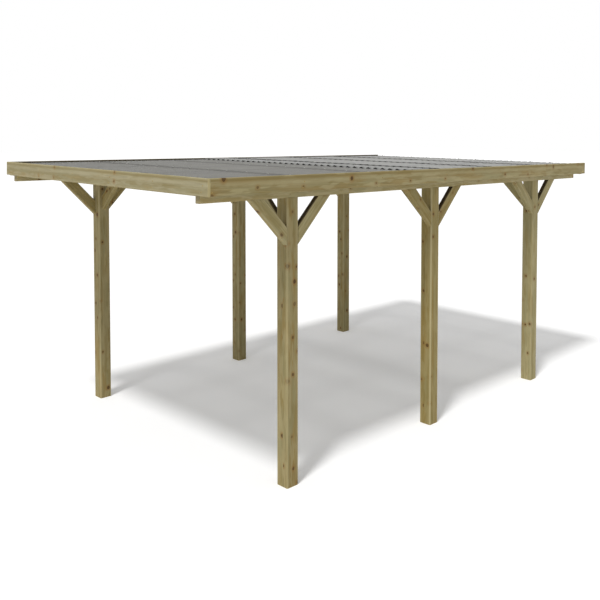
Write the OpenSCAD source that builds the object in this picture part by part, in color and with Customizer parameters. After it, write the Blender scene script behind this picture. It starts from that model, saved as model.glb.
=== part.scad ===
// Open timber carport for one car, under wave-profiled roof sheets.
// Millimetres, +Z up. The entrance faces -Y, and the roof falls towards +Y.
// The origin is on the ground, at the middle of the roof's plan.

/* [Plan] */
// Width over the outer faces of the two rows of posts
row_width = 2800; // [2300:10:3600]
// Distance from post to post along a row
post_pitch = 1768; // [1300:1:2400]
// Roof beyond the posts' outer faces at each side
side_overhang = 115; // [70:1:300]
// Roof beyond the end posts at the front and at the rear
end_overhang = 817; // [420:1:1000]

/* [Heights] */
// Underside of the beams, at the middle of their length
beam_under = 2148; // [1900:1:2600]
// Fall of the roof towards the rear, in degrees
fall = 0.97; // [0.5:0.01:2.5]

/* [Posts] */
// Side of a square post
post_side = 115; // [90:1:160]
// Chamfer on the posts' long edges
post_arris = 6; // [1:0.5:12]

/* [Beams and rafters] */
// Thickness of beams and rafters
timber_thick = 45; // [30:1:60]
// Depth of beams and rafters
timber_deep = 95; // [80:1:160]
// Chamfer on the long edges of beams and rafters
timber_arris = 3; // [1:0.5:6]
// How far a rafter is notched down over a beam
rafter_notch = 46; // [15:1:60]

/* [Braces] */
// Reach of a brace's lower edge, out from the post and down from its seat
brace_reach = 351; // [260:1:420]
// Thickness of a brace
brace_thick = 45; // [30:1:60]
// Depth of a brace
brace_deep = 95; // [60:1:120]
// Chamfer on the braces' long edges
brace_arris = 3; // [1:0.5:6]

/* [Fascias] */
// Thickness of a fascia board
fascia_thick = 20; // [15:1:30]
// Depth of the front and side fascia boards
fascia_deep = 120; // [95:1:180]
// Chamfer on the long edges of the fascia boards
fascia_arris = 3; // [1:0.5:5]
// Height of the side fascias over the crests of the sheets
fascia_rise = 12; // [2:0.5:30]
// Setback of the rear fascia under the ends of the sheets
drip = 15; // [5:1:40]

/* [Roof sheets] */
// Distance from crest to crest
wave_pitch = 83; // [60:1:130]
// Depth of the waves
wave_deep = 18; // [12:0.5:30]
// Thickness of a sheet, measured upright
sheet_thick = 1.2; // [0.8:0.1:3]
// Width that neighbouring sheets share
side_lap = 83; // [60:1:160]
// Length that the front row of sheets runs on under the rear row
end_lap = 430; // [100:1:600]
// Thickness of the sealing strip between the two rows of sheets, measured upright
seal_thick = 8; // [4:0.5:12]
// Depth of the sealing strip along the roof's fall
seal_deep = 40; // [20:1:90]
// Setback of the sealing strip from the edge of the rear row
seal_inset = 4; // [2:0.5:10]

/* [Clearances] */
// Play between timbers that bear on each other
seat = 0.2; // [0.1:0.05:0.5]
// Play between sheets that lap
lap_play = 0.2; // [0.1:0.05:0.5]
// Room between the sheets and the fascias beside them
edge_room = 3; // [1:0.5:8]

/* [Hidden] */

timber_colour = [0.50, 0.45, 0.30];
sheet_colour = [0.50, 0.50, 0.50];
seal_colour = [0.06, 0.06, 0.06];

// Places across the width
row_outer = row_width / 2;
row_inner = row_outer - post_side;
beam_inner = row_outer - timber_thick;
roof_half = row_outer + side_overhang;
fascia_inner = roof_half - fascia_thick;

// Levels over the beams' underside, square to the roof's fall
rafter_low = timber_deep - rafter_notch;
rafter_top = rafter_low + timber_deep;
crest_top = rafter_top + seat + wave_deep + sheet_thick;
fascia_top = crest_top + fascia_rise;
fascia_low = fascia_top - fascia_deep;

// Places along the roof's fall
roof_length = 2 * post_pitch + post_side + 2 * end_overhang;
roof_middle = -(fascia_low + fascia_top) / 2 * tan(fall);
roof_front = roof_middle - roof_length / 2;
roof_rear = roof_middle + roof_length / 2;
front_inner = roof_front + fascia_thick;
rear_outer = roof_rear - drip;
rear_inner = rear_outer - fascia_thick;

// Roof sheets: three across, each step of the wave a flat strip
wave_steps = 8;
wave_step = wave_pitch / wave_steps;
sheets_left = -fascia_inner + edge_room;
sheet_wide = (2 * (fascia_inner - edge_room) + 2 * side_lap) / 3;
sheet_next = sheet_wide - side_lap;
lap_lift = sheet_thick + lap_play;
front_sheet_start = front_inner + edge_room;
front_sheet_end = along(0) + timber_thick / 2;
rear_sheet_start = front_sheet_end - end_lap;
seal_low = 2 * lap_lift;
seal_start = rear_sheet_start + seal_inset;
seal_end = seal_start + seal_deep;
rear_sheet_tilt = atan((seal_low + seal_thick + lap_play) / (roof_rear - seal_end));

// Long enough to cut right through any piece
cutter = 2 * (roof_length + row_width);

// The place along the fall of a rafter that stands over a place on the ground
function along(y) = (y - rafter_low * sin(fall)) / cos(fall);

// The height over the ground of a level of the sloping frame
function level(y, above) = beam_under + above / cos(fall) - y * tan(fall);

// The height of the wave at one of its steps, and between two steps
function wave_at(i) = wave_deep / 2 * (1 - cos(360 * i / wave_steps));
function wave(x) =
    let (i = floor(x / wave_step), part = x / wave_step - i)
    wave_at(i) * (1 - part) + wave_at(i + 1) * part;

// A sheet lifts where it lies on its neighbour, and comes down over the next wave
function lift(x, start) =
    lap_lift * max(0, min(1, 1 - (x - start - side_lap) / wave_pitch));

// Where a sheet bends: its two edges and each step of the wave between them
function bends(start, end) = concat(
    [start],
    [for (i = [floor(start / wave_step) + 1 : ceil(end / wave_step) - 1]) i * wave_step],
    [end]
);

// Puts a piece that is drawn level on the roof's fall
module on_fall() {
    translate([0, 0, beam_under])
        rotate([-fall, 0, 0])
            children();
}

// Everything above a level of the sloping frame
module above_fall(above) {
    on_fall()
        translate([-cutter / 2, -cutter / 2, above])
            cube(cutter);
}

// A rectangle with its four corners cut
module soft_section(wide, deep, arris) {
    polygon([
        [arris, 0], [wide - arris, 0], [wide, arris], [wide, deep - arris],
        [wide - arris, deep], [arris, deep], [0, deep - arris], [0, arris]
    ]);
}

// A board along Y, from its low, left, front corner
module board_along(wide, deep, long, arris) {
    translate([0, long, 0])
        rotate([90, 0, 0])
            linear_extrude(long)
                soft_section(wide, deep, arris);
}

// A board along X, from its low, left, front corner
module board_across(wide, deep, long, arris) {
    rotate([90, 0, 90])
        linear_extrude(long)
            soft_section(wide, deep, arris);
}

// A post, with a shoulder for the beam and a tongue up to the rafter's level
module post(side, place) {
    color(timber_colour)
        difference() {
            translate([side * (row_outer - post_side / 2) - post_side / 2, place - post_side / 2, 0])
                linear_extrude(level(-abs(place) - post_side, rafter_top))
                    soft_section(post_side, post_side, post_arris);
            above_fall(rafter_low - seat);
            intersection() {
                above_fall(-seat);
                on_side(side)
                    translate([beam_inner - seat, -cutter / 2, 0])
                        cube(cutter);
            }
        }
}

// Draws a piece of the right side on either side
module on_side(side) {
    mirror([side < 0 ? 1 : 0, 0, 0])
        children();
}

module beam(side) {
    color(timber_colour)
        on_side(side)
            on_fall()
                translate([beam_inner, front_inner + seat, 0])
                    board_along(timber_thick, timber_deep, rear_inner - front_inner - 2 * seat, timber_arris);
}

// A brace rising along +X from an upright face at x = 0 to a seat, both cut away later
module brace_board(foot) {
    translate([0, brace_thick / 2, foot])
        rotate([0, -45, 0])
            translate([0, -brace_thick, 0])
                board_across(brace_thick, brace_deep, (brace_reach + brace_thick) * sqrt(2), brace_arris);
}

// A brace under a beam, from a post's front face (way = -1) or rear face (way = 1)
module brace_along(side, place, way) {
    face = place + way * post_side / 2;
    color(timber_colour)
        on_side(side)
            difference() {
                translate([row_outer - brace_thick / 2, face, 0])
                    rotate([0, 0, way * 90])
                        brace_board(level(face, 0) - brace_reach);
                above_fall(-seat);
                translate([0, way < 0 ? face - seat : face + seat - cutter, 0])
                    cube(cutter);
            }
}

// A brace under a rafter, from a post's inner face
module brace_across(side, place) {
    color(timber_colour)
        on_side(side)
            difference() {
                translate([row_inner, place, 0])
                    rotate([0, 0, 180])
                        brace_board(level(place, rafter_low) - brace_reach);
                above_fall(rafter_low - seat);
                translate([row_inner - seat, -cutter / 2, 0])
                    cube(cutter);
            }
}

// A rafter across the whole roof, notched over both beams
module rafter(middle) {
    color(timber_colour)
        on_fall()
            difference() {
                translate([seat - fascia_inner, middle - timber_thick / 2, rafter_low])
                    board_across(timber_thick, timber_deep, 2 * (fascia_inner - seat), timber_arris);
                for (side = [-1, 1])
                    on_side(side)
                        translate([beam_inner - seat, middle - timber_thick, 0])
                            cube([timber_thick + 2 * seat, 2 * timber_thick, timber_deep + seat]);
            }
}

module side_fascia(side) {
    color(timber_colour)
        on_side(side)
            on_fall()
                translate([fascia_inner, front_inner + seat, fascia_low])
                    board_along(fascia_thick, fascia_deep, roof_rear - front_inner - seat, fascia_arris);
}

// The outline of one sheet's wave, from its lower to its upper face
module sheet_section(count) {
    start = sheets_left + count * sheet_next;
    raised = count > 0 ? 1 : 0;
    places = bends(start, start + sheet_wide);
    last = len(places) - 1;
    under = [for (x = places) [x, wave(x) + raised * lift(x, start)]];
    over = [for (i = [last : -1 : 0]) under[i] + [0, sheet_thick]];
    polygon(concat(under, over));
}

// The outline of the sealing strip, which follows the wave over the highest of the front row's laps
module seal_section() {
    places = bends(sheets_left, -sheets_left);
    last = len(places) - 1;
    under = [for (x = places) [x, wave(x) + seal_low]];
    over = [for (i = [last : -1 : 0]) under[i] + [0, seal_thick]];
    polygon(concat(under, over));
}

// A sheet of the front row, flat on the rafters
module front_sheet(count) {
    color(sheet_colour)
        on_fall()
            translate([0, front_sheet_end, rafter_top + seat])
                rotate([90, 0, 0])
                    linear_extrude(front_sheet_end - front_sheet_start)
                        sheet_section(count);
}

// A sheet of the rear row, which lies on the sealing strip at its upper end
module rear_sheet(count) {
    color(sheet_colour)
        on_fall()
            translate([0, roof_rear, rafter_top + seat])
                rotate([90 - rear_sheet_tilt, 0, 0])
                    linear_extrude((roof_rear - rear_sheet_start) / cos(rear_sheet_tilt))
                        sheet_section(count);
}

module post_front_left() { post(-1, -post_pitch); }
module post_front_right() { post(1, -post_pitch); }
module post_middle_left() { post(-1, 0); }
module post_middle_right() { post(1, 0); }
module post_rear_left() { post(-1, post_pitch); }
module post_rear_right() { post(1, post_pitch); }

module beam_left() { beam(-1); }
module beam_right() { beam(1); }

module brace_front_left_forward() { brace_along(-1, -post_pitch, -1); }
module brace_front_left_backward() { brace_along(-1, -post_pitch, 1); }
module brace_front_left_across() { brace_across(-1, -post_pitch); }
module brace_front_right_forward() { brace_along(1, -post_pitch, -1); }
module brace_front_right_backward() { brace_along(1, -post_pitch, 1); }
module brace_front_right_across() { brace_across(1, -post_pitch); }
module brace_middle_left_forward() { brace_along(-1, 0, -1); }
module brace_middle_left_backward() { brace_along(-1, 0, 1); }
module brace_middle_left_across() { brace_across(-1, 0); }
module brace_middle_right_forward() { brace_along(1, 0, -1); }
module brace_middle_right_backward() { brace_along(1, 0, 1); }
module brace_middle_right_across() { brace_across(1, 0); }
module brace_rear_left_forward() { brace_along(-1, post_pitch, -1); }
module brace_rear_left_backward() { brace_along(-1, post_pitch, 1); }
module brace_rear_left_across() { brace_across(-1, post_pitch); }
module brace_rear_right_forward() { brace_along(1, post_pitch, -1); }
module brace_rear_right_backward() { brace_along(1, post_pitch, 1); }
module brace_rear_right_across() { brace_across(1, post_pitch); }

module rafter_front_end() { rafter(front_inner + seat + timber_thick / 2); }
module rafter_front_posts() { rafter(along(-post_pitch)); }
module rafter_front_bay() { rafter(along(-post_pitch / 2)); }
module rafter_middle_posts() { rafter(along(0)); }
module rafter_rear_bay() { rafter(along(post_pitch / 2)); }
module rafter_rear_posts() { rafter(along(post_pitch)); }
module rafter_rear_end() { rafter(rear_inner - seat - timber_thick / 2); }

module fascia_front() {
    color(timber_colour)
        on_fall()
            translate([-roof_half, roof_front, fascia_low])
                board_across(fascia_thick, fascia_deep, 2 * roof_half, fascia_arris);
}

module fascia_rear() {
    color(timber_colour)
        on_fall()
            translate([seat - fascia_inner, rear_inner, fascia_low])
                board_across(fascia_thick, rafter_top - fascia_low, 2 * (fascia_inner - seat), fascia_arris);
}

module fascia_left() { side_fascia(-1); }
module fascia_right() { side_fascia(1); }

module sheet_front_left() { front_sheet(0); }
module sheet_front_middle() { front_sheet(1); }
module sheet_front_right() { front_sheet(2); }
module sheet_rear_left() { rear_sheet(0); }
module sheet_rear_middle() { rear_sheet(1); }
module sheet_rear_right() { rear_sheet(2); }

module lap_seal() {
    color(seal_colour)
        on_fall()
            translate([0, seal_end, rafter_top + seat])
                rotate([90, 0, 0])
                    linear_extrude(seal_deep)
                        seal_section();
}

post_front_left();
post_front_right();
post_middle_left();
post_middle_right();
post_rear_left();
post_rear_right();
beam_left();
beam_right();
brace_front_left_forward();
brace_front_left_backward();
brace_front_left_across();
brace_front_right_forward();
brace_front_right_backward();
brace_front_right_across();
brace_middle_left_forward();
brace_middle_left_backward();
brace_middle_left_across();
brace_middle_right_forward();
brace_middle_right_backward();
brace_middle_right_across();
brace_rear_left_forward();
brace_rear_left_backward();
brace_rear_left_across();
brace_rear_right_forward();
brace_rear_right_backward();
brace_rear_right_across();
rafter_front_end();
rafter_front_posts();
rafter_front_bay();
rafter_middle_posts();
rafter_rear_bay();
rafter_rear_posts();
rafter_rear_end();
fascia_front();
fascia_rear();
fascia_left();
fascia_right();
sheet_front_left();
sheet_front_middle();
sheet_front_right();
sheet_rear_left();
sheet_rear_middle();
sheet_rear_right();
lap_seal();
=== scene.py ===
"""Looks of an open timber carport: treated pine, smoke-grey roof sheets and their screws.

Metres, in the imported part's frame: +Z up, the entrance towards -Y, the roof falling towards +Y.
"""

import math
from collections import namedtuple

import bpy
import numpy as np
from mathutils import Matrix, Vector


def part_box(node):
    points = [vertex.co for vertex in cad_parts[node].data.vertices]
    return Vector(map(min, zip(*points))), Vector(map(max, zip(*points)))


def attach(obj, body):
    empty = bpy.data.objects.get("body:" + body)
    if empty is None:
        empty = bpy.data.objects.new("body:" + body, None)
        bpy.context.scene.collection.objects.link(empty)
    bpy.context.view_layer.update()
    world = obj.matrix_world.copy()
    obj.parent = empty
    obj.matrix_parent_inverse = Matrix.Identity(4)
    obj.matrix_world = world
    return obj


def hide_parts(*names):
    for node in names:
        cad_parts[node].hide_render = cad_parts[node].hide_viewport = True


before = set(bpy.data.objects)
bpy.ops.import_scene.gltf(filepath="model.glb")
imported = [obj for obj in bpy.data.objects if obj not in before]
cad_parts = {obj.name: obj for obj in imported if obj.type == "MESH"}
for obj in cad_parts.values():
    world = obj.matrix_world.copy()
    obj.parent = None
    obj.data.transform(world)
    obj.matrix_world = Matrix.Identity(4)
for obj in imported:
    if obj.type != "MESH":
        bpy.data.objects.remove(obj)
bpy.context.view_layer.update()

# Sizes that the part's source also has; a level is a height over the beams' underside, square to the fall
FALL = math.radians(0.97)
BEAM_UNDER = 2.148
RAFTER_TOP = 0.144
BRACE_THICK = 0.045
BRACE_DEEP = 0.095
WAVE_PITCH = 0.083
WAVE_DEEP = 0.018
SHEET_THICK = 0.0012
SIDE_LAP = 0.083
SEAL_THICK = 0.008
SEAL_INSET = 0.004
SEAT = 0.0002
LAP_PLAY = 0.0002
LAP_LIFT = SHEET_THICK + LAP_PLAY

POSTS = [f"post_{row}_{side}" for row in ("front", "middle", "rear") for side in ("left", "right")]
BEAMS = ["beam_left", "beam_right"]
RAFTERS = ["rafter_front_end", "rafter_front_posts", "rafter_front_bay", "rafter_middle_posts",
           "rafter_rear_bay", "rafter_rear_posts", "rafter_rear_end"]
BRACES = [f"brace_{row}_{side}_{way}" for row in ("front", "middle", "rear")
          for side in ("left", "right") for way in ("forward", "backward", "across")]
SHEETS = [f"sheet_{row}_{place}" for row in ("front", "rear") for place in ("left", "middle", "right")]


def paint(red, green, blue):
    """A screen colour, 0 to 255, as the linear colour that shaders take, by the sRGB formula."""
    screen = np.array([red, green, blue]) / 255
    linear = np.where(screen <= 0.04045, screen / 12.92, ((screen + 0.055) / 1.055) ** 2.4)
    return (*linear.tolist(), 1.0)


def on_fall(x, y, z):
    """Points given along the roof's fall and square to it, turned and lifted into the frame."""
    lean, rise = math.sin(FALL), math.cos(FALL)
    placed = np.broadcast_arrays(x, y * rise + z * lean, BEAM_UNDER - y * lean + z * rise)
    return np.stack(placed, axis=-1)


def fall_place(y, z):
    """The place along the roof's fall of a point of the frame."""
    return y * math.cos(FALL) - (z - BEAM_UNDER) * math.sin(FALL)


def along_fall(y, level):
    """The place along the roof's fall of a point with the frame's y, at a level."""
    return (y - level * math.sin(FALL)) / math.cos(FALL)


def corners(node):
    """A node's lowest and highest corner."""
    return [np.array(corner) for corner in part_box(node)]


def middle_and_half(node):
    """The middle of a node's box, and its half sizes."""
    low, high = corners(node)
    return (low + high) / 2, (high - low) / 2


# Materials

class Recipe:
    """The nodes of one material, or of the sky.

    add makes a node, sets it up and gives it back. split and noise give back all of their node's
    outputs, finish gives back the material, and the other methods the one output that is used.
    """

    def __init__(self, owner):
        owner.use_nodes = True
        self.owner = owner
        self.tree = owner.node_tree
        self.tree.nodes.clear()

    def add(self, kind, wiring, **settings):
        made = self.tree.nodes.new(kind)
        for setting, value in settings.items():
            setattr(made, setting, value)
        for socket, value in wiring.items():
            if isinstance(value, bpy.types.NodeSocket):
                self.tree.links.new(value, made.inputs[socket])
            else:
                made.inputs[socket].default_value = value
        return made

    def place(self):
        return self.add("ShaderNodeTexCoord", {}).outputs["Object"]

    def turned(self, vector, place, turn):
        wiring = {"Vector": vector, "Location": place, "Rotation": turn}
        return self.add("ShaderNodeMapping", wiring, vector_type="TEXTURE").outputs[0]

    def split(self, vector):
        return self.add("ShaderNodeSeparateXYZ", {0: vector}).outputs

    def join(self, x, y, z):
        return self.add("ShaderNodeCombineXYZ", {0: x, 1: y, 2: z}).outputs[0]

    def math(self, operation, *values):
        return self.add("ShaderNodeMath", dict(enumerate(values)), operation=operation).outputs[0]

    def length(self, first, second):
        squares = [self.math("MULTIPLY", side, side) for side in (first, second)]
        return self.math("SQRT", self.math("ADD", *squares))

    def vector(self, operation, *values):
        return self.add("ShaderNodeVectorMath", dict(enumerate(values)), operation=operation).outputs[0]

    def scaled(self, vector, factor):
        return self.add("ShaderNodeVectorMath", {0: vector, "Scale": factor}, operation="SCALE").outputs[0]

    def ramp(self, value, start, end, low=0.0, high=1.0):
        wiring = {"Value": value, "From Min": start, "From Max": end, "To Min": low, "To Max": high}
        return self.add("ShaderNodeMapRange", wiring, interpolation_type="SMOOTHSTEP").outputs[0]

    def noise(self, vector, stretch, detail=2.0, roughness=0.5):
        wiring = {"Vector": self.vector("MULTIPLY", vector, stretch), "Scale": 1.0,
                  "Detail": detail, "Roughness": roughness}
        return self.add("ShaderNodeTexNoise", wiring).outputs

    def speckle(self, per_metre, detail=2.0):
        return self.noise(self.place(), (per_metre, per_metre, per_metre), detail)["Fac"]

    def mix(self, factor, first, second):
        """Sockets 6 and 7 and output 2 are the mixing node's own for colours."""
        made = self.add("ShaderNodeMix", {0: factor, 6: first, 7: second}, data_type="RGBA")
        return made.outputs[2]

    def bump(self, height, distance, strength):
        wiring = {"Height": height, "Distance": distance, "Strength": strength}
        return self.add("ShaderNodeBump", wiring).outputs[0]

    def finish(self, wiring):
        shader = self.add("ShaderNodeBsdfPrincipled", wiring)
        self.add("ShaderNodeOutputMaterial", {"Surface": shader.outputs[0]})
        return self.owner


def new_recipe(name):
    return Recipe(bpy.data.materials.new(name))


# Treated pine: u runs along a timber's grain, v and w across it

Tones = namedtuple("Tones", "pale deep green brown")
Knots = namedtuple("Knots", "share scale")
Band = namedtuple("Band", "middle reach tone share")
ShadeAndDirt = namedtuple("ShadeAndDirt", "side lowest tone")

# Pale wood, deep streaks, the green of the treatment and resin's brown
TONES = {
    "front": Tones(paint(170, 161, 129), paint(139, 126, 83), paint(153, 147, 112), paint(158, 138, 92)),
    # The side fascias' tone is warmer and a little deeper than the end fascias': painted shade, for faces
    # turned from the sun
    "side": Tones(paint(173, 161, 120), paint(135, 118, 70), paint(147, 140, 99), paint(150, 127, 74)),
    "post": Tones(paint(168, 154, 111), paint(136, 119, 68), paint(145, 138, 97), paint(147, 122, 64)),
    "brown_post": Tones(paint(163, 147, 98), paint(137, 117, 59), paint(144, 134, 87), paint(147, 122, 61)),
    "green_post": Tones(paint(177, 165, 122), paint(149, 135, 85), paint(158, 151, 111),
                        paint(155, 135, 81)),
    # A paler tone for beams and rafters: painted light that lifts their shade under the roof
    "lightened_for_shade": Tones(paint(192, 179, 137), paint(162, 145, 93), paint(169, 161, 119), paint(168, 146, 88)),
}
# Pale cut ends are a painted highlight, and SHADED_END, the beams' darker ends, is painted shade
END_HIGHLIGHT = paint(190, 176, 128)
SHADED_END = paint(144, 132, 100)
# Paler arrises are a painted highlight
ARRIS_HIGHLIGHT = paint(192, 180, 138)
KNOT_HALO = paint(140, 99, 38)
KNOT_HEART = paint(68, 45, 13)
# The fascias' inner faces over the sheets take dirt and painted shade; the braces' upper faces painted shade
EDGE_SHADE_AND_DIRT = paint(82, 75, 58)
BRACE_TOP_SHADE = paint(54, 39, 16)

# Noises: how often they change in a metre along u, v and w, their detail and their roughness
WANDER = ((0.8, 2.5, 2.5), 1.0, 0.5)
RAGGED = ((90, 140, 140), 2.0, 0.5)
DRIFT = ((0.7, 5, 5), 2.0, 0.5)
STREAK = ((0.45, 24, 24), 3.0, 0.55)
PATCH = ((2.2, 15, 15), 3.0, 0.55)
DAPPLE = ((4.5, 26, 26), 2.0, 0.6)
FIBRE = ((8, 380, 380), 2.0, 0.5)
SEED_STEP = (1.31, 0.77, 0.53)

# Ramps from noise to colour: where they start and end, and their least and greatest share
STREAK_SHARE = (0.32, 0.68, 0.1, 0.8)
GREEN_SHARE = (0.42, 0.62, 0.0, 0.55)
RESIN_SHARE = (0.50, 0.66, 0.0, 0.60)
DEEP_DAPPLE_SHARE = (0.52, 0.62, 0.0, 0.50)
PALE_DAPPLE_SHARE = (0.50, 0.60, 0.0, 0.60)

# Pith and knots: distances along the grain count by KNOT_LENGTHENED, a knot that isn't there shrinks by
# NO_KNOT, and the edges run from no mark to the full mark
PITH_WANDER = 0.030
KNOT_SPACING = 0.25
KNOT_TURN = 1.15
KNOT_SCATTER = 0.9
KNOT_LENGTHENED = 0.85
KNOT_LEAST = 0.0048
KNOT_RANGE = 0.0080
KNOT_RAGGED = 0.007
KNOT_FAINTEST = 0.50
NO_KNOT = 0.1
WHORL_STEP = 11.7
HEART_EDGE = (0.0055, 0.0010)
HALO_EDGE = (0.026, 0.002)
HEART_SHARE = 0.90
HALO_SHARE = 0.60
USUAL_KNOTS = Knots(0.58, 1.0)

# Growth rings, and the brightness that late wood and fibres take away
RING_WIDTH = 0.0045
RING_BEND = 0.010
RING_DRIFT = 3.0
RING_END = 0.90
LATE_SHADE = -0.18
FIBRE_SHADE = -0.22
FULL_SHADE = 1.12

# Painted highlights on arrises and ends, painted shade on the beams' ends, and painted shade with dirt on
# faces: reaches run from no mark to the full mark, and the skin's depths lie under the face
USUAL_ARRIS_HIGHLIGHT = 0.2
ARRIS_REACH = (0.018, 0.005)
END_REACH = (0.0025, 0.0010)
END_SHARE = 0.75
SHADE_AND_DIRT_RISE = 0.005
SHADE_AND_DIRT_SKIN = (0.004, 0.001)
SHADE_AND_DIRT_MIDDLE = 0.35
SHADE_AND_DIRT_AT_ARRIS = 0.60
SHADE_AND_DIRT_SHARE = 0.95

# Surface: roughness is fibre times the first value plus the second, bump is distance and strength
PINE_ROUGH = (0.22, 0.56)
PINE_SPECULAR = 0.28
PINE_BUMP = (0.0008, 0.55)
FIBRE_RELIEF = 0.7
LATE_RELIEF = 0.5


def round_the_pith(made, grown, v, w, pith):
    """The distance from the pith and the angle round it, where the pith wanders along the timber."""
    stray = made.split(made.noise(grown, *WANDER)["Color"])
    from_v, from_w = (made.math("MULTIPLY_ADD", stray[side], PITH_WANDER,
                                made.math("SUBTRACT", across, pith[side] + PITH_WANDER / 2))
                      for side, across in enumerate((v, w)))
    return made.length(from_v, from_w), made.math("ARCTAN2", from_w, from_v)


def knot_marks(made, grown, u, radius, angle, seed, knots):
    """How strongly a point shows a knot's heart, the branch itself, and the stained halo round it.

    Knots are branches that leave the pith: cells in (u, angle), round on the timber's face and a
    little longer along the grain. knots is the share of the cells that hold one, and their scale.
    """
    whorl = made.join(made.math("MULTIPLY_ADD", u, 1 / KNOT_SPACING, seed * WHORL_STEP),
                      made.math("MULTIPLY", angle, 1 / KNOT_TURN), 0.0)
    branch = made.add("ShaderNodeTexVoronoi", {"Vector": whorl, "Scale": 1.0, "Randomness": KNOT_SCATTER},
                      voronoi_dimensions="2D").outputs
    off = made.split(made.vector("SUBTRACT", whorl, branch["Position"]))
    chance, bulk, force = made.split(branch["Color"])
    spread = made.length(made.math("MULTIPLY", off[0], KNOT_SPACING * KNOT_LENGTHENED),
                         made.math("MULTIPLY", made.math("MULTIPLY", off[1], KNOT_TURN), radius))
    present = made.math("LESS_THAN", chance, knots.share)
    size = made.math("MULTIPLY_ADD", bulk, KNOT_RANGE * knots.scale, KNOT_LEAST * knots.scale)
    size = made.math("MULTIPLY_ADD", made.math("SUBTRACT", present, 1.0), NO_KNOT, size)
    ragged = made.noise(grown, *RAGGED)["Fac"]
    away = made.math("SUBTRACT", made.math("MULTIPLY_ADD", ragged, KNOT_RAGGED, spread), size)
    strength = made.math("MULTIPLY_ADD", force, 1 - KNOT_FAINTEST, KNOT_FAINTEST)
    return [made.math("MULTIPLY", made.ramp(away, *edge), strength) for edge in (HEART_EDGE, HALO_EDGE)]


def late_wood(made, grown, radius, halo):
    """The dark part of the growth rings: the fraction of radius over ring width, squared, softly ended.

    The rings drift along the timber and bend round its knots.
    """
    drift = made.noise(grown, *DRIFT)["Fac"]
    bent = made.math("MULTIPLY_ADD", made.math("MULTIPLY", halo, halo), -RING_BEND, radius)
    turns = made.math("MULTIPLY_ADD", bent, 1 / RING_WIDTH, made.math("MULTIPLY", drift, RING_DRIFT))
    year = made.math("FRACT", turns)
    return made.math("MULTIPLY", made.math("MULTIPLY", year, year), made.ramp(year, 1.0, RING_END))


def mixed_tones(made, grown, w, tones, bands):
    """Streaks, patches and small dapples, all noise drawn out along u, under stripes along the grain.

    A band is a stripe's middle and half width in w, its tone and its share.
    """
    patch = made.noise(grown, *PATCH)
    dapple = made.noise(grown, *DAPPLE)
    colour = made.mix(made.ramp(made.noise(grown, *STREAK)["Fac"], *STREAK_SHARE), tones.pale, tones.deep)
    colour = made.mix(made.ramp(patch["Fac"], *GREEN_SHARE), colour, tones.green)
    colour = made.mix(made.ramp(made.split(patch["Color"])[1], *RESIN_SHARE), colour, tones.brown)
    colour = made.mix(made.ramp(dapple["Fac"], *DEEP_DAPPLE_SHARE), colour, tones.deep)
    colour = made.mix(made.ramp(made.split(dapple["Color"])[2], *PALE_DAPPLE_SHARE), colour, tones.pale)
    for band in bands:
        aside = made.math("ABSOLUTE", made.math("SUBTRACT", w, band.middle))
        share = made.ramp(aside, band.reach, 0.0, 0.0, band.share)
        colour = made.mix(share, colour, getattr(tones, band.tone))
    return colour


def grime_share(made, v, w, half, grime):
    """How much painted shade and dirt a point takes: above the lowest w, on the face to one side in v, or for
    side 0 all over.

    The mark that lies all over, painted shade on the braces' upper faces, thins out from the middle of v to
    the arrises.
    """
    above = made.ramp(w, grime.lowest, grime.lowest + SHADE_AND_DIRT_RISE)
    if grime.side:
        inner, outer = (half[1] - depth for depth in SHADE_AND_DIRT_SKIN)
        spread = made.ramp(made.math("MULTIPLY", v, grime.side), inner, outer)
    else:
        thick = half[1] * SHADE_AND_DIRT_MIDDLE
        spread = made.ramp(made.math("ABSOLUTE", v), half[1], thick, SHADE_AND_DIRT_AT_ARRIS, 1.0)
    return made.math("MULTIPLY", made.math("MULTIPLY", above, spread), SHADE_AND_DIRT_SHARE)


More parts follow.
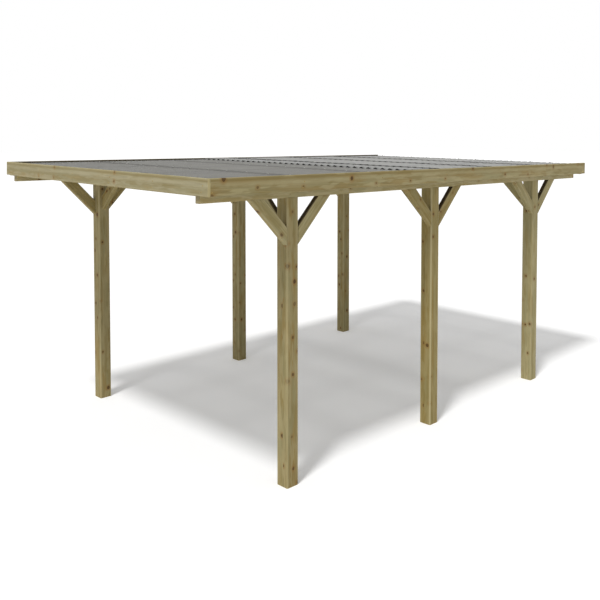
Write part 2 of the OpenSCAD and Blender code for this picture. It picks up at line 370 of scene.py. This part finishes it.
def pine(name, place, turn, half, pith, tone, seed, arris_highlight=USUAL_ARRIS_HIGHLIGHT, knots=USUAL_KNOTS, bands=(),
         grime=None, end=END_HIGHLIGHT):
    """Treated pine of one timber, whose u, v and w start from place and are turned by turn.

    half is its half sizes in u, v and w, pith the pith's place in v and w, and the seed moves it to
    wood of its own. The ends take the tone end, a painted highlight, or painted shade on the beams, and
    the arrises are paler by their share, a painted highlight.
    """
    made = new_recipe(name)
    board = made.turned(made.place(), place, turn)
    grown = made.vector("ADD", board, tuple(seed * step for step in SEED_STEP))
    u, v, w = made.split(board)
    radius, angle = round_the_pith(made, grown, v, w, pith)
    heart, halo = knot_marks(made, grown, u, radius, angle, seed, knots)
    late = late_wood(made, grown, radius, halo)
    fibre = made.noise(grown, *FIBRE)["Fac"]

    colour = mixed_tones(made, grown, w, TONES[tone], bands)
    shade = made.math("MULTIPLY_ADD", fibre, FIBRE_SHADE, FULL_SHADE)
    colour = made.scaled(colour, made.math("MULTIPLY_ADD", late, LATE_SHADE, shade))
    colour = made.mix(made.math("MULTIPLY", halo, HALO_SHARE), colour, KNOT_HALO)
    colour = made.mix(made.math("MULTIPLY", heart, HEART_SHARE), colour, KNOT_HEART)
    to_end, to_v, to_w = (made.math("SUBTRACT", reach, made.math("ABSOLUTE", along))
                          for reach, along in zip(half, (u, v, w)))
    # A painted highlight along the arrises, and at the ends a painted highlight or, on the beams, painted
    # shade
    arris_lit = made.ramp(made.math("ADD", to_v, to_w), *ARRIS_REACH, 0.0, arris_highlight)
    colour = made.mix(arris_lit, colour, ARRIS_HIGHLIGHT)
    colour = made.mix(made.ramp(to_end, *END_REACH, 0.0, END_SHARE), colour, end)
    # Dirt and painted shade on the fascias' faces over the sheets, painted shade on the braces' upper faces
    if grime:
        colour = made.mix(grime_share(made, v, w, half, grime), colour, grime.tone)

    relief = made.math("MULTIPLY_ADD", late, LATE_RELIEF, heart)
    height = made.math("MULTIPLY_ADD", fibre, FIBRE_RELIEF, relief)
    return made.finish({"Base Color": colour, "Specular IOR Level": PINE_SPECULAR,
                        "Roughness": made.math("MULTIPLY_ADD", fibre, *PINE_ROUGH),
                        "Normal": made.bump(height, *PINE_BUMP)})


# Roof sheets: tones of the two rows, each clear and dusty, the rear's paler as a painted reflection, and of
# the dirt and painted shade on them
SMOKE_FRONT = (paint(108, 107, 101), paint(126, 125, 118))
SMOKE_REAR_WITH_SHEEN = (paint(142, 142, 139), paint(167, 167, 163))
SHEET_SHADE_AND_DIRT = paint(34, 33, 30)

# Painted shade and dirt on the sheets: their shares, and how far they reach, over the rafters from no mark
# to the full mark
RAFTER_SHADE_DIRT_REACH = (0.100, 0.045)
RAFTER_SHADE_DIRT_FRONT = 0.30
RAFTER_SHADE_DIRT_REAR = 0.95
RAFTER_SHADE_DIRT_EAVE = 0.45
LAP_SHADE_DIRT = 0.50
LAP_SHADE_DIRT_REACH = 0.035
SIDE_SHADE_DIRT = 0.80
SIDE_SHADE_DIRT_REACH = 0.110

# The sheets' surface: noises as the pine's, and a shade of the lines times the first value plus the second
HAZE = ((5, 0.9, 5), 4.0, 0.6)
HAZE_SHARE = (0.30, 0.72)
DRAWN_LINES = ((60, 0.5, 20), 2.0, 0.5)
LINE_SHADE = (0.10, 0.95)
LINE_BUMP = (0.0002, 0.05)
SHEET_ROUGH = 0.40
HAZE_ROUGH = 0.10
DIRT_ROUGH = 0.45
SHEET_SPECULAR = 0.4
SHEET_ALPHA = 0.64
SHEET_COAT = 0.50
COAT_ROUGH = 0.42


def sheet_shade_and_dirt(made, edge, lap, rafters):
    """Painted shade and dirt: dull dark lines along the lap and over each rafter, and strips beside the
    fascias.

    edge is the fascias' inner face in x; lap and rafters are places in y. The lines over the front
    row's rafters are faint, and the last one, at the eave, is lighter than the rear row's others. The lines
    are painted shade, of the rafters under the sheet, of the lap and of the fascias' creases, with dirt.
    """
    x, y, _ = made.split(made.place())
    beside = made.ramp(made.math("ABSOLUTE", x), edge - SIDE_SHADE_DIRT_REACH, edge, 0.0, SIDE_SHADE_DIRT)
    to_lap = made.math("ABSOLUTE", made.math("SUBTRACT", y, lap))
    sheet_shade_dirt = made.math("MAXIMUM", made.ramp(to_lap, LAP_SHADE_DIRT_REACH, 0.0, 0.0, LAP_SHADE_DIRT), beside)
    for rafter in rafters:
        share = RAFTER_SHADE_DIRT_EAVE if rafter == rafters[-1] else RAFTER_SHADE_DIRT_REAR
        if rafter < lap:
            share = RAFTER_SHADE_DIRT_FRONT
        to_rafter = made.math("ABSOLUTE", made.math("SUBTRACT", y, rafter))
        sheet_shade_dirt = made.math("MAXIMUM", sheet_shade_dirt, made.ramp(to_rafter, *RAFTER_SHADE_DIRT_REACH, 0.0, share))
    return sheet_shade_dirt


def smoke_sheet(edge, lap, rafters):
    """Smoke-grey plastic that passes some light, with a haze of dust, faint drawing lines, dirt and painted
    shade.

    The rear row, from the lap's place in y on, is paler: a painted reflection. The marks of dirt and painted
    shade also dull the plastic and its coat.
    """
    made = new_recipe("smoke_sheet")
    place = made.place()
    sheet_shade_dirt = sheet_shade_and_dirt(made, edge, lap, rafters)
    haze = made.ramp(made.noise(place, *HAZE)["Fac"], *HAZE_SHARE)
    lines = made.noise(place, *DRAWN_LINES)["Fac"]
    # The rear row's paler tone is a painted reflection
    behind = made.math("GREATER_THAN", made.split(place)[1], lap)
    colour = made.mix(behind, made.mix(haze, *SMOKE_FRONT), made.mix(haze, *SMOKE_REAR_WITH_SHEEN))
    colour = made.scaled(colour, made.math("MULTIPLY_ADD", lines, *LINE_SHADE))
    # Painted shade with dirt: dark lines over the rafters and the lap, and strips beside the fascias
    colour = made.mix(sheet_shade_dirt, colour, SHEET_SHADE_AND_DIRT)
    dull = made.math("MULTIPLY_ADD", sheet_shade_dirt, DIRT_ROUGH, SHEET_ROUGH)
    return made.finish({"Base Color": colour, "Roughness": made.math("MULTIPLY_ADD", haze, HAZE_ROUGH, dull),
                        "Specular IOR Level": SHEET_SPECULAR, "Alpha": SHEET_ALPHA,
                        "Coat Weight": made.math("MULTIPLY_ADD", sheet_shade_dirt, -SHEET_COAT, SHEET_COAT),
                        "Coat Roughness": COAT_ROUGH, "Normal": made.bump(lines, *LINE_BUMP)})


def speckled(name, per_metre, detail, tones, rough, contrast=None, bump=None, others=None):
    """A small piece's finish: a speckle of so many spots to the metre that mixes two tones.

    Roughness is the speckle times the first value of rough plus the second. contrast narrows the
    speckle for the tones, bump is distance and strength, and others are more of the shader's values.
    """
    made = new_recipe(name)
    speckle = made.speckle(per_metre, detail)
    share = made.ramp(speckle, *contrast) if contrast else speckle
    wiring = {"Base Color": made.mix(share, *tones),
              "Roughness": made.math("MULTIPLY_ADD", speckle, *rough), **(others or {})}
    if bump:
        wiring["Normal"] = made.bump(speckle, *bump)
    return made.finish(wiring)


def seal_foam():
    """Black closed-cell foam, dull and finely pored."""
    return speckled("seal_foam", per_metre=900, detail=3.0, tones=(paint(18, 18, 18), paint(44, 43, 42)),
                    rough=(0.15, 0.80), bump=(0.0006, 0.6), others={"Specular IOR Level": 0.2})


def yellow_zinc():
    """Screws of yellow-passivated steel, with a mottled dull bloom."""
    return speckled("yellow_zinc", per_metre=160, detail=3.0, contrast=(0.3, 0.7), rough=(0.3, 0.25),
                    tones=(paint(186, 164, 104), paint(132, 116, 74)), others={"Metallic": 1.0})


def cap_plastic():
    """Moulded grey plastic of the sheet screws' caps, with a fine grain."""
    return speckled("cap_plastic", per_metre=420, detail=2.0, rough=(0.2, 0.38), bump=(0.0002, 0.3),
                    tones=(paint(136, 135, 131), paint(156, 154, 150)))


def washer_rubber():
    """Grey rubber of the sheet screws' washers, a little chalky."""
    return speckled("washer_rubber", per_metre=260, detail=3.0, contrast=(0.35, 0.75), rough=(0.2, 0.6),
                    tones=(paint(112, 112, 109), paint(136, 135, 131)))


# Timbers: each keeps its shape and gets its own pine

# How a timber lies: the turn of its u, v and w, and which sides of its box they run along
QUARTER = math.pi / 2
UPRIGHT = ((0.0, -QUARTER, 0.0), [2, 1, 0])
ALONG = ((0.0, FALL, QUARTER), [1, 0, 2])
ACROSS = ((-FALL, 0.0, 0.0), [0, 1, 2])
BRACE_TURNS = {
    "forward": (0.0, -QUARTER / 2, -QUARTER),
    "backward": (0.0, -QUARTER / 2, QUARTER),
    "across_left": (0.0, -QUARTER / 2, 0.0),
    "across_right": (0.0, -QUARTER / 2, math.pi),
}

# The first seed of each kind of timber; the fascias' are in their table
FIRST_POST = 1
FIRST_BEAM = 10
FIRST_RAFTER = 14
FIRST_BRACE = 40

# Where the pith lies: shares of a section's half sizes, or metres behind a board's middle
PITH_OFF_MIDDLE = 0.3
PITH_BEHIND = (0.05, 0.09)
PITH_ASIDE = 0.5

# Looks of the posts: tone, share of the arrises' painted highlight, and knots
POST_LOOKS = {"post_middle_right": ("brown_post", 0.7, Knots(0.42, 1.1)),
              "post_rear_right": ("green_post", 0.3, Knots(0.42, 0.9))}
OTHER_POSTS = ("post", 0.4, Knots(0.74, 1.2))

# Looks of the fascias: each one's lie, tone, knots, seed and its inner face's side in v, which takes dirt
# and painted shade above SHEETS_FROM in w
SIDE_KNOTS = Knots(0.72, 1.35)
FRONT_KNOTS = Knots(0.30, 0.70)
FASCIA_BANDS = (Band(0.044, 0.016, "deep", 0.75), Band(0.018, 0.022, "pale", 0.50),
                Band(-0.007, 0.014, "deep", 0.20))
FASCIAS = {
    "fascia_left": (ALONG, "side", SIDE_KNOTS, 24, -1),
    "fascia_right": (ALONG, "side", SIDE_KNOTS, 25, 1),
    "fascia_front": (ACROSS, "front", FRONT_KNOTS, 28, 1),
    "fascia_rear": (ACROSS, "front", FRONT_KNOTS, 29, -1),
}
SHEETS_FROM = 0.028

# Looks of the braces: how deep the painted shade on their upper faces reaches, and a half length beyond
# every cut end
BRACE_SHADE_DEEP = 0.006
ENDLESS = 10.0


def dress(node, material):
    """Puts one material all over a node."""
    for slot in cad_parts[node].material_slots:
        slot.material = material


def heart_in(rng, half):
    """A post's pith runs somewhere near the middle of its section."""
    return tuple(rng.uniform(-PITH_OFF_MIDDLE, PITH_OFF_MIDDLE, 2) * half[1:])


def heart_behind(rng, half):
    """A board's pith lies well behind one of its wide faces, so that the rings cross those faces flat."""
    behind = rng.choice((-1, 1)) * rng.uniform(*PITH_BEHIND)
    return behind, rng.uniform(-PITH_ASIDE, PITH_ASIDE) * half[2]


def dress_posts(rng):
    turn, order = UPRIGHT
    for seed, node in enumerate(POSTS, FIRST_POST):
        middle, half = middle_and_half(node)
        half = half[order]
        tone, arris_highlight, knots = POST_LOOKS.get(node, OTHER_POSTS)
        dress(node, pine(f"pine_{node}", middle, turn, half, heart_in(rng, half), tone, seed, arris_highlight, knots))


def dress_boards(rng, nodes, lie, tone, first_seed, **extra):
    """Beams, rafters and fascias, each with a pith of its own."""
    turn, order = lie
    for seed, node in enumerate(nodes, first_seed):
        middle, half = middle_and_half(node)
        half = half[order]
        dress(node, pine(f"pine_{node}", middle, turn, half, heart_behind(rng, half), tone, seed, **extra))


def dress_fascias(rng):
    """The fascias have a pale stripe between deep ones, and dirt and painted shade facing the sheets' edges.
    """
    for node, (lie, tone, knots, seed, inner) in FASCIAS.items():
        dress_boards(rng, [node], lie, tone, seed, knots=knots, bands=FASCIA_BANDS,
                     grime=ShadeAndDirt(inner, SHEETS_FROM, EDGE_SHADE_AND_DIRT))


def dress_braces(rng):
    """A brace's axis rises from the post at 45 degrees, half the brace's depth off its lower face.

    Its upper face is darkened with painted shade. It counts as endless, so that no end grain shows where it
    meets post and beam.
    """
    half = np.array([ENDLESS, BRACE_THICK / 2, BRACE_DEEP / 2])
    grime = ShadeAndDirt(0, half[2] - BRACE_SHADE_DEEP, BRACE_TOP_SHADE)
    for seed, node in enumerate(BRACES, FIRST_BRACE):
        low, high = corners(node)
        row, side, way = node.split("_")[1:]
        start = (low + high) / 2
        start[2] = low[2] + BRACE_DEEP / math.sqrt(2)
        if way == "across":
            start[0] = high[0] if side == "right" else low[0]
        else:
            start[1] = high[1] if way == "forward" else low[1]
        turn = BRACE_TURNS[f"across_{side}" if way == "across" else way]
        # The darker brown tone of the left row's braces is partly the wood's own and partly painted shade,
        # for faces turned from the light
        tone = "green_post" if side == "right" and row != "middle" else "brown_post"
        dress(node, pine(f"pine_{node}", start, turn, half, heart_behind(rng, half), tone, seed, grime=grime))


# New pieces

def piece(name, points, faces, material, smooth_angle):
    """A mesh from whole arrays of points and faces, smooth except over edges sharper than the angle."""
    mesh = bpy.data.meshes.new(name)
    mesh.from_pydata(points.reshape(-1, 3).tolist(), [], [face for block in faces for face in block.tolist()])
    mesh.polygons.foreach_set("use_smooth", np.ones(len(mesh.polygons), bool))
    mesh.set_sharp_from_angle(angle=smooth_angle)
    mesh.materials.append(material)
    made = bpy.data.objects.new(name, mesh)
    bpy.context.collection.objects.link(made)
    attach(made, "root")
    return made


def wave(x):
    """Height of the roof's wave: half its depth times one less the cosine, with a valley at x = 0."""
    return WAVE_DEEP / 2 * (1 - np.cos(2 * math.pi * x / WAVE_PITCH))


# Level of the sheets' seat, places along the fall of their rear end and the seal's, the rear row's lean
SHEET_SEAT = RAFTER_TOP + SEAT
ROOF_REAR = along_fall(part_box("sheet_rear_left")[1][1], SHEET_SEAT + WAVE_DEEP + SHEET_THICK)
SEAL_END = along_fall(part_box("lap_seal")[1][1], SHEET_SEAT + WAVE_DEEP + 2 * LAP_LIFT + SEAL_THICK)
REAR_LEAN = (2 * LAP_LIFT + SEAL_THICK + LAP_PLAY) / (ROOF_REAR - SEAL_END)
STEPS_PER_WAVE = 16
STATIONS = 9
SHEET_SMOOTH = math.radians(40)


def roof_sheet(node, material):
    """One sheet: the cosine wave across x, carried along the fall at even stations as a thin closed shell.

    A sheet that lies on its neighbour lifts by one thickness over the side lap and comes down over
    the next wave, and the rear row leans up towards its front edge, where it lies on the front row.
    """
    low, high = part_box(node)
    step = WAVE_PITCH / STEPS_PER_WAVE
    inner = np.arange(math.floor(low[0] / step) + 1, math.ceil(high[0] / step)) * step
    x = np.concatenate([[low[0]], inner, [high[0]]])
    lean = REAR_LEAN if "rear" in node else 0.0
    start = along_fall(low[1], SHEET_SEAT + lean * (ROOF_REAR - low[1]))
    end = along_fall(high[1], SHEET_SEAT + WAVE_DEEP + SHEET_THICK)
    y = np.linspace(start, end, STATIONS)[:, None]
    lift = 0.0 if "left" in node else LAP_LIFT * np.clip(1 - (x - low[0] - SIDE_LAP) / WAVE_PITCH, 0, 1)
    under = SHEET_SEAT + wave(x) + lift + lean * (ROOF_REAR - y)
    rings_x = np.concatenate([x, x[::-1]])
    rings_z = np.concatenate([under, (under + SHEET_THICK)[:, ::-1]], axis=1)
    points = on_fall(rings_x[None, :], y, rings_z)

    count = len(rings_x)
    near = np.arange(count)
    following = (near + 1) % count
    first = np.arange(STATIONS - 1)[:, None] * count
    sides = np.stack([first + near, first + near + count, first + following + count, first + following], -1)
    edge = np.arange(len(x) - 1)
    opposite = count - 1 - edge
    front = np.stack([edge, edge + 1, opposite - 1, opposite], -1)
    back = front[:, ::-1] + (STATIONS - 1) * count
    made = piece(node.replace("sheet", "wave_sheet"), points, [sides.reshape(-1, 4), front, back], material,
                 SHEET_SMOOTH)
    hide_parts(node)


HEAD_SIDES = 12
HEAD_SMOOTH = math.radians(35)
NEARLY_UPRIGHT = 0.9


def turned_heads(name, seats, axes, profile, material, drape=None):
    """Many like round heads: a profile of (radius, height) turned about each seat's own axis.

    drape takes the heads' points and bends them to the surface under them. Both end rings close as discs.
    """
    radii, heights = np.array(profile).T
    upright = np.abs(axes[:, 2:]) > NEARLY_UPRIGHT
    side = np.cross(axes, np.where(upright, (1.0, 0, 0), (0, 0, 1.0)))
    side /= np.linalg.norm(side, axis=1, keepdims=True)
    other = np.cross(axes, side)
    turn = np.arange(HEAD_SIDES) * 2 * math.pi / HEAD_SIDES
    round_part = np.cos(turn)[:, None] * side[:, None, :] + np.sin(turn)[:, None] * other[:, None, :]
    points = (seats[:, None, None] + radii[:, None, None] * round_part[:, None]
              + heights[:, None, None] * axes[:, None, None])
    if drape is not None:
        points = drape(points)

    rings = len(profile)
    first = (np.arange(len(seats)) * rings * HEAD_SIDES)[:, None, None]
    ring = np.arange(rings - 1)[:, None] * HEAD_SIDES
    near = np.arange(HEAD_SIDES)
    following = (near + 1) % HEAD_SIDES
    sides = np.stack([first + ring + near, first + ring + following, first + ring + following + HEAD_SIDES,
                      first + ring + near + HEAD_SIDES], -1)
    tops = first[:, 0] + (rings - 1) * HEAD_SIDES + near
    bottoms = first[:, 0] + near[::-1]
    piece(name, points, [sides.reshape(-1, 4), tops, bottoms], material, HEAD_SMOOTH)


# Screws in the timbers: a head's profile, and the levels, stagger and places of the pairs. A beam's are
# (aside, level) from a post's middle, and a brace's lie so far from its ends
SCREW_HEAD = [(0.0046, 0.0), (0.0046, 0.0006), (0.0038, 0.0014), (0.0021, 0.0016), (0.0017, 0.0005)]
SCREW_LEVELS = (0.080, 0.125)
SCREW_STAGGER = 0.008
FASCIA_FIXINGS = (-1.45, -0.87, -0.29, 0.29, 0.87, 1.45)
BEAM_FIXINGS = ((-0.028, 0.025), (0.028, 0.070))
BRACE_FIXING = 0.045
BRACE_SCREW_ASIDE = 0.010
UP = np.array([0.0, 0.0, 1.0])


def rafter_places():
    """Where the rafters' middles lie along the roof's fall."""
    middles = [middle_and_half(node)[0] for node in RAFTERS]
    return np.array([fall_place(middle[1], middle[2]) for middle in middles])


def fascia_seats():
    """Two screws, one over the other, into each rafter's end, and six such pairs in front and at the rear.

    The end fascias lean with the roof, so each face's place in y is taken at a level of its own.
    """
    seats, axes = [], []
    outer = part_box("fascia_right")[1][0]
    faces = ((-1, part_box("fascia_front")[0][1], SCREW_LEVELS[0]),
             (1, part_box("fascia_rear")[1][1], RAFTER_TOP))
    for level, stagger in zip(SCREW_LEVELS, (-SCREW_STAGGER, SCREW_STAGGER)):
        for side in (-1, 1):
            places = rafter_places() + stagger
            seats.append(on_fall(side * outer, places, level))
            axes.append(np.tile((side, 0.0, 0.0), (len(places), 1)))
        for way, face, face_level in faces:
            x = np.array(FASCIA_FIXINGS) + stagger
            seats.append(on_fall(x, along_fall(face, face_level), level))
            axes.append(np.tile((0.0, way * math.cos(FALL), -way * math.sin(FALL)), (len(x), 1)))
    return np.concatenate(seats), np.concatenate(axes)


def beam_seats():
    """Two screws through the beam's outer face into each post's tongue."""
    seats, axes = [], []
    for node in POSTS:
        low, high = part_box(node)
        side = 1 if "right" in node else -1
        middle = (low[1] + high[1]) / 2
        for aside, level in BEAM_FIXINGS:
            seats.append(on_fall(high[0] if side > 0 else low[0], middle + aside, level))
            axes.append((side, 0.0, 0.0))
    return np.array(seats), np.array(axes)


def brace_seats():
    """Two screws near each end of a brace, in its lower face, which rises at 45 degrees from the post."""
    seats, axes = [], []
    for node in BRACES:
        low, high = corners(node)
        side, way = node.split("_")[2:]
        if way == "across":
            out = np.array([1.0 if side == "left" else -1.0, 0.0, 0.0])
        else:
            out = np.array([0.0, 1.0 if way == "backward" else -1.0, 0.0])
        across = np.abs(np.cross(out, UP))
        foot = np.where(out > 0, low, np.where(out < 0, high, (low + high) / 2))
        foot[2] = low[2]
        rise = (out + UP) / math.sqrt(2)
        reach = float(np.abs(out) @ (high - low)) * math.sqrt(2)
        for place in (BRACE_FIXING, reach - BRACE_FIXING):
            for sign in (-1, 1):
                aside = across * sign * BRACE_SCREW_ASIDE
                seats.append(foot + rise * (place + sign * SCREW_STAGGER) + aside)
                axes.append((out - UP) / math.sqrt(2))
    return np.array(seats), np.array(axes)


def timber_screws(material):
    """All the pan-headed screws in the timbers, as one piece."""
    seats, axes = zip(fascia_seats(), beam_seats(), brace_seats())
    turned_heads("timber_screws", np.concatenate(seats), np.concatenate(axes), SCREW_HEAD, material)


# Screws in the sheets: profiles of washer and cap, the screwed crests, and a margin for the lap's rafter
WASHER = [(0.0095, -0.0002), (0.0095, 0.0014), (0.0078, 0.0020)]
CAP = [(0.0080, 0.0010), (0.0080, 0.0026), (0.0068, 0.0042), (0.0042, 0.0052), (0.0016, 0.0055)]
SCREWED_COUNT = 12
SCREWED_STEP = 3
SCREWED_CRESTS = (np.arange(SCREWED_COUNT) - (SCREWED_COUNT - 1) / 2) * SCREWED_STEP * WAVE_PITCH
LAP_MARGIN = 0.2


def sheet_screws(washer_material, cap_material):
    """A washer and a cap on every third crest over each rafter, bent down over the crest as the wave is.

    From the rafter at the lap on, they sit on the leaning rear row.
    """
    x, y = (grid.ravel() for grid in np.meshgrid(SCREWED_CRESTS, rafter_places()))
    lean = np.where(y > SEAL_END - LAP_MARGIN, REAR_LEAN * (ROOF_REAR - y), 0.0)
    seats = on_fall(x, y, SHEET_SEAT + WAVE_DEEP + SHEET_THICK + lean)
    axes = np.tile((0.0, math.sin(FALL), math.cos(FALL)), (len(x), 1))

    def over_the_crest(points):
        points[..., 2] += wave(points[..., 0]) - WAVE_DEEP
        return points

    turned_heads("sheet_washers", seats, axes, WASHER, washer_material, over_the_crest)
    turned_heads("sheet_caps", seats, axes, CAP, cap_material, over_the_crest)


# Build

RANDOM_SEED = 7

rng = np.random.default_rng(RANDOM_SEED)
dress_posts(rng)
# Beams and rafters take a paler tone, painted light against their shade under the roof; the beams' ends
# painted shade
dress_boards(rng, BEAMS, ALONG, "lightened_for_shade", FIRST_BEAM, end=SHADED_END)
dress_boards(rng, RAFTERS, ACROSS, "lightened_for_shade", FIRST_RAFTER)
dress_fascias(rng)
dress_braces(rng)
dress("lap_seal", seal_foam())

smoke = smoke_sheet(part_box("fascia_right")[0][0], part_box("lap_seal")[0][1] - SEAL_INSET,
                    on_fall(0.0, rafter_places(), SHEET_SEAT)[:, 1])
for node in SHEETS:
    roof_sheet(node, smoke)
timber_screws(yellow_zinc())
sheet_screws(washer_rubber(), cap_plastic())


# Stage: a pale floor, a high soft key from the entrance's side and an even sky

WHITE = (1.0, 1.0, 1.0, 1.0)
FLOOR_TONES = ((0.87, 0.87, 0.87, 1.0), (0.89, 0.89, 0.89, 1.0))
FLOOR_MOTTLE = 0.5
FLOOR_HALF = 60.0
FLOOR_LIFT = 0.19
SKY_LIGHT = 0.45
KEY_TRAVEL = (-0.17, 0.50, -1.0)
KEY_STRENGTH = 2.1
KEY_SPREAD = math.radians(8)


def seen_directly(made):
    """1 for rays that show the background: to the camera, in a reflection or through a clear piece."""
    light_path = made.add("ShaderNodeLightPath", {}).outputs
    shown = made.math("MAXIMUM", light_path["Is Camera Ray"], light_path["Is Glossy Ray"])
    return made.math("MAXIMUM", shown, light_path["Is Transmission Ray"])


def pale_floor():
    """A flat square of ground, white where the light is open, that keeps the shadow."""
    made = new_recipe("pale_floor")
    glow = made.math("MULTIPLY", seen_directly(made), FLOOR_LIFT)
    colour = made.mix(made.speckle(FLOOR_MOTTLE), *FLOOR_TONES)
    material = made.finish({"Base Color": colour, "Roughness": 1.0, "Specular IOR Level": 0.0,
                            "Emission Color": WHITE, "Emission Strength": glow})
    square = np.array([(-1.0, -1.0, 0.0), (1.0, -1.0, 0.0), (1.0, 1.0, 0.0), (-1.0, 1.0, 0.0)]) * FLOOR_HALF
    mesh = bpy.data.meshes.new("floor")
    mesh.from_pydata(square.tolist(), [], [(0, 1, 2, 3)])
    mesh.materials.append(material)
    floor = bpy.data.objects.new("floor", mesh)
    bpy.context.collection.objects.link(floor)


def even_sky():
    """A plain sky: dim as light, white where it is seen."""
    made = Recipe(bpy.data.worlds.new("sky"))
    bpy.context.scene.world = made.owner
    strength = made.ramp(seen_directly(made), 0.0, 1.0, SKY_LIGHT, 1.0)
    sky = made.add("ShaderNodeBackground", {"Color": WHITE, "Strength": strength})
    made.add("ShaderNodeOutputWorld", {"Surface": sky.outputs[0]})


def key_light():
    """A sun broad enough to soften the shadow's edge."""
    lamp = bpy.data.lights.new("key", "SUN")
    lamp.energy = KEY_STRENGTH
    lamp.angle = KEY_SPREAD
    key = bpy.data.objects.new("key", lamp)
    key.rotation_euler = Vector(KEY_TRAVEL).to_track_quat("-Z", "Y").to_euler()
    bpy.context.collection.objects.link(key)


CAMERA_PLACE = (5.5931, -5.7800, 2.7396)
CAMERA_BEARING = 0.7983
CAMERA_DIP = 0.0438
CAMERA_LENS = 47.283
CAMERA_SENSOR = 36.0
CAMERA_SHIFT = -0.24


def camera():
    """Stands off the front right corner at the height of a raised eye, looking slightly down."""
    lens = bpy.data.cameras.new("camera")
    lens.lens = CAMERA_LENS
    lens.sensor_width = CAMERA_SENSOR
    lens.shift_y = CAMERA_SHIFT
    stand = bpy.data.objects.new("camera", lens)
    stand.location = CAMERA_PLACE
    stand.rotation_euler = (QUARTER - CAMERA_DIP, 0.0, CAMERA_BEARING)
    bpy.context.collection.objects.link(stand)
    bpy.context.scene.camera = stand


pale_floor()
even_sky()
key_light()
camera()
bpy.context.scene.view_settings.view_transform = "Standard"
